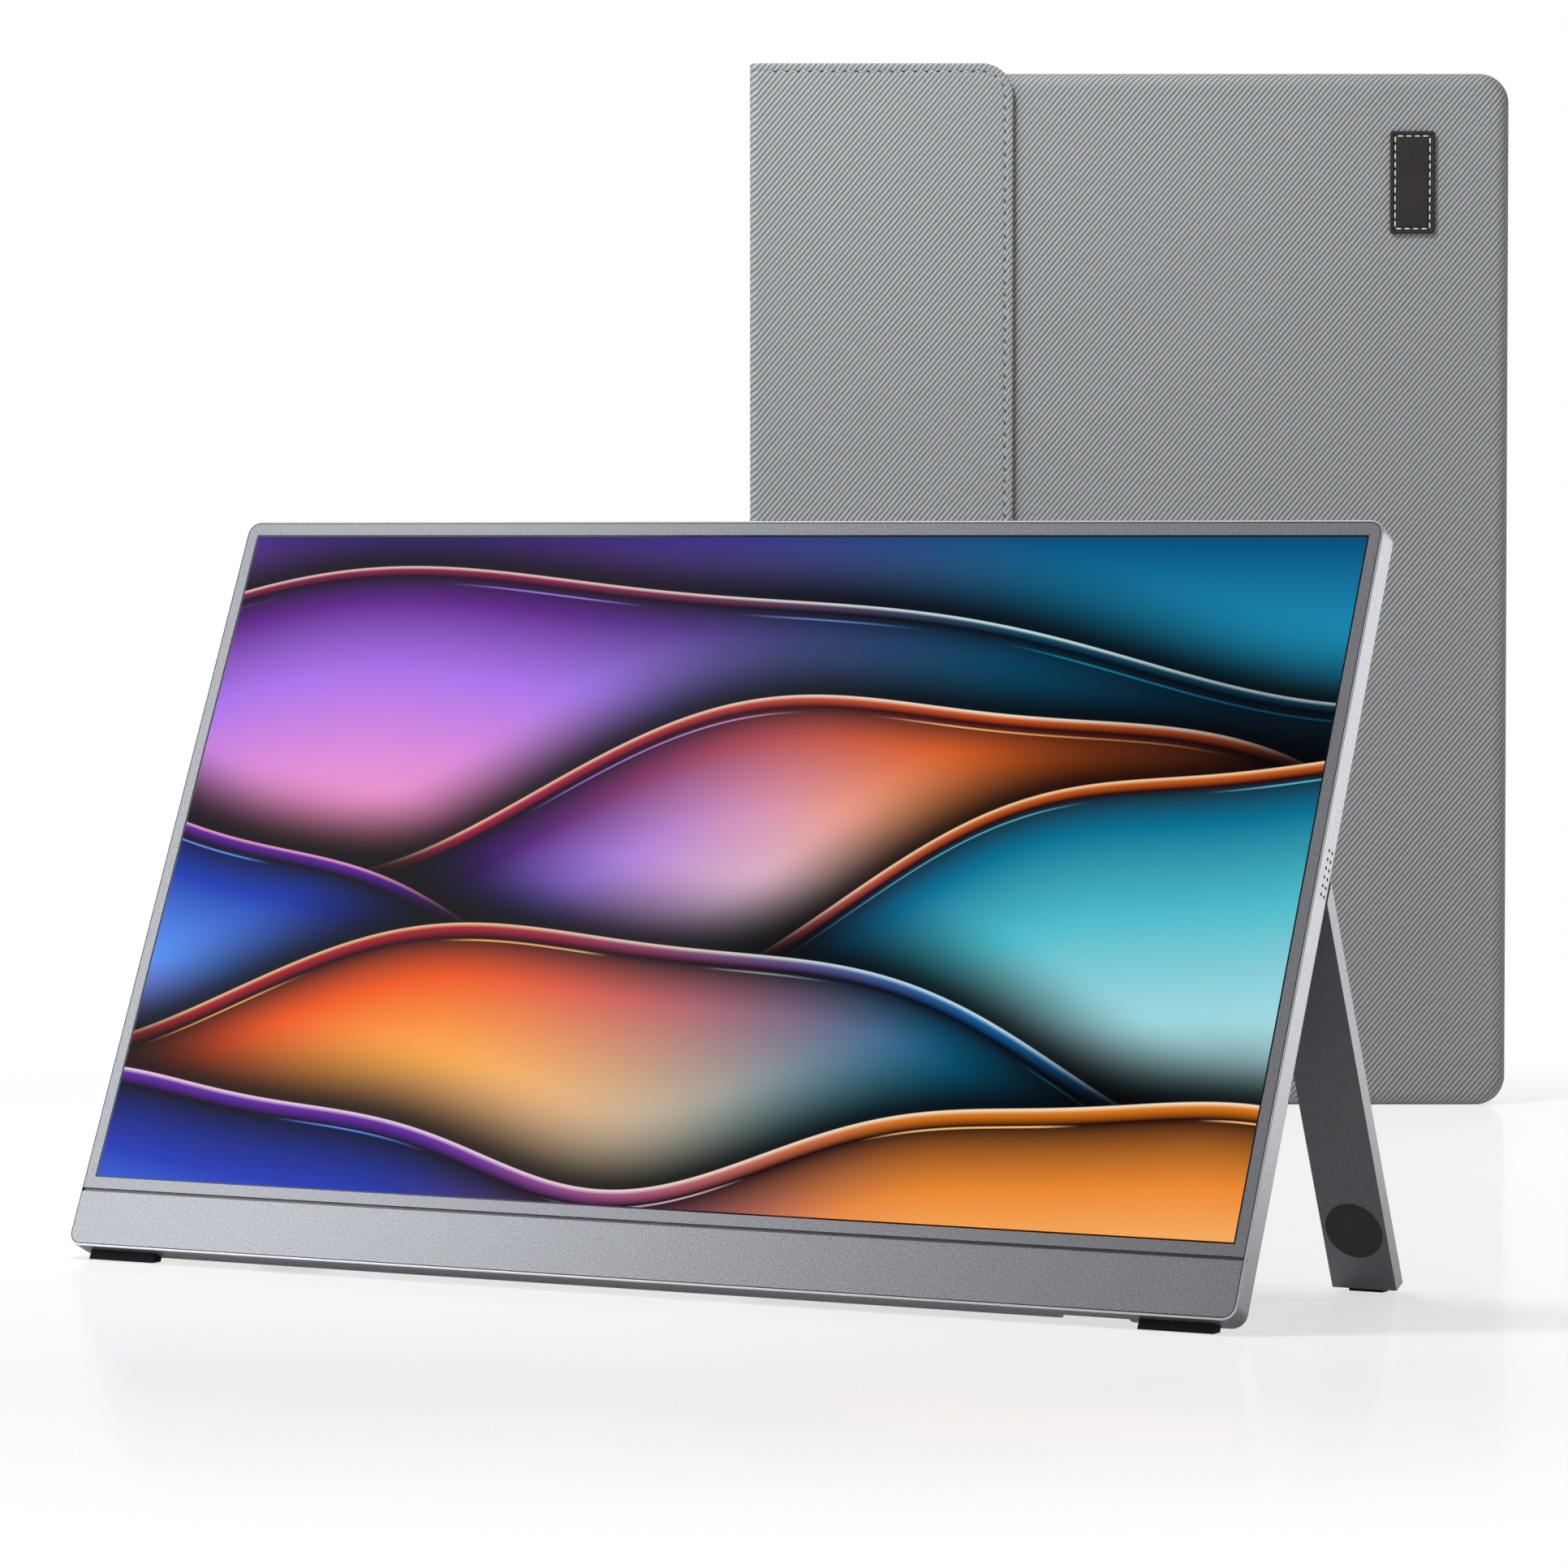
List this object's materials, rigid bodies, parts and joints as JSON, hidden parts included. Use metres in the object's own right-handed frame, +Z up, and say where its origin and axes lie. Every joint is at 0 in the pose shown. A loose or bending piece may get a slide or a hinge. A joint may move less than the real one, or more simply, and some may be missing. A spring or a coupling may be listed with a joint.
{
  "type": "portable monitor with sleeve",
  "caption": "Slim portable monitor leaning on a hinged kickstand, with ports and keys on its side, and a padded fabric sleeve with a magnetic flap standing behind it.",
  "frame": {"origin": "middle of the flat rubber foot at the left end of the monitor, on the table", "axes": "+Z up, -Y the way the sleeve's front faces, +X to the right seen from the front; the monitor is turned 28.9 degrees about +Z towards -X"},
  "size_m": [0.4478, 0.6542, 0.3618],
  "materials": {
    "case_metal": "bead blasted",
    "chin_metal": "bead blasted",
    "stand_metal": "bead blasted",
    "button_metal": "satin",
    "tray_metal": "satin",
    "screen_glass": "glossy, lit",
    "optical_film": "matt",
    "clear_plastic": "polished",
    "led_strip": "matt",
    "circuit_board": "solder resist",
    "black_plastic": "matt",
    "shield_tin": "satin",
    "ribbon": "satin",
    "socket_steel": "satin",
    "hinge_steel": "satin",
    "screw_steel": "satin",
    "brass": "turned",
    "magnet_nickel": "plated",
    "black_rubber": "matt",
    "dark_rubber": "matt",
    "twill_fabric": "ribbed twill",
    "lining_fabric": "brushed",
    "foam": "closed cell foam",
    "patch_rubber": "embossed"
  },
  "bodies": {
    "monitor": {"rear_shell": "case_metal", "front_border": "case_metal", "chin_cover": "chin_metal", "screen_panel": "screen_glass", "optical_sheets": "optical_film", "light_guide": "clear_plastic", "backlight_tray": "tray_metal", "led_strip": "led_strip", "main_board": "circuit_board", "board_chips": "black_plastic", "shield_can": "shield_tin", "panel_board": "circuit_board", "ribbon_cable": "ribbon", "usb_c_low": "socket_steel", "usb_c_high": "socket_steel", "mini_hdmi": "socket_steel", "audio_jack": "black_plastic", "key_board": "circuit_board", "key_switches": "socket_steel", "speaker_left": "black_plastic", "speaker_right": "black_plastic", "case_foot_left": "black_rubber", "case_foot_right": "black_rubber", "hinge_bracket_left": "hinge_steel", "hinge_bracket_right": "hinge_steel", "board_standoffs": "brass", "board_screws": "screw_steel", "hinge_screws": "screw_steel", "case_screws": "screw_steel", "stand_magnets": "magnet_nickel"},
    "kickstand": {"stand_frame": "stand_metal", "hinge_shaft_left": "hinge_steel", "hinge_shaft_right": "hinge_steel", "stand_pad_left": "dark_rubber", "stand_pad_right": "dark_rubber", "stand_foot_left": "black_rubber", "stand_foot_right": "black_rubber"},
    "power_button": {"power_button": "button_metal"},
    "menu_button_up": {"menu_button_up": "button_metal"},
    "menu_button_down": {"menu_button_down": "button_metal"},
    "sleeve": {"sleeve_cover": "twill_fabric", "foam_front": "foam", "foam_back": "foam", "sleeve_lining": "lining_fabric", "mouth_binding": "lining_fabric", "catch_magnets": "magnet_nickel", "patch": "patch_rubber"},
    "flap_spine": {"flap_spine": "twill_fabric"},
    "flap": {"flap_cover": "twill_fabric", "flap_lining": "lining_fabric", "flap_magnets": "magnet_nickel"}
  },
  "joints": [
    {"name": "stand_hinge", "type": "hinge", "parent": "monitor", "child": "kickstand", "pos_m": [0.16588, -0.02934, 0.10431], "axis": [0.8755, -0.4833, 0], "range_deg": [-48.4, 0]},
    {"name": "power_button_press", "type": "slide", "parent": "monitor", "child": "power_button", "axis": [0.8755, -0.4833, 0], "range_m": [0, 0.00035], "stiffness_N_per_m": 1500},
    {"name": "menu_up_press", "type": "slide", "parent": "monitor", "child": "menu_button_up", "axis": [0.8755, -0.4833, 0], "range_m": [0, 0.00035], "stiffness_N_per_m": 1500},
    {"name": "menu_down_press", "type": "slide", "parent": "monitor", "child": "menu_button_down", "axis": [0.8755, -0.4833, 0], "range_m": [0, 0.00035], "stiffness_N_per_m": 1500},
    {"name": "sleeve_carry", "type": "slide", "parent": "monitor", "child": "sleeve", "axis": [0, 1, 0], "range_m": [0, 0.15]},
    {"name": "spine_crease", "type": "hinge", "parent": "sleeve", "child": "flap_spine", "pos_m": [0.17, 0.4888, 0], "axis": [0, 0, -1], "range_deg": [0, 90]},
    {"name": "flap_crease", "type": "hinge", "parent": "flap_spine", "child": "flap", "pos_m": [0.17, 0.4705, 0], "axis": [0, 0, -1], "range_deg": [0, 90]}
  ],
  "couplings": [
    {"joint": "spine_crease", "follows": "flap_crease", "ratio": 1}
  ]
}
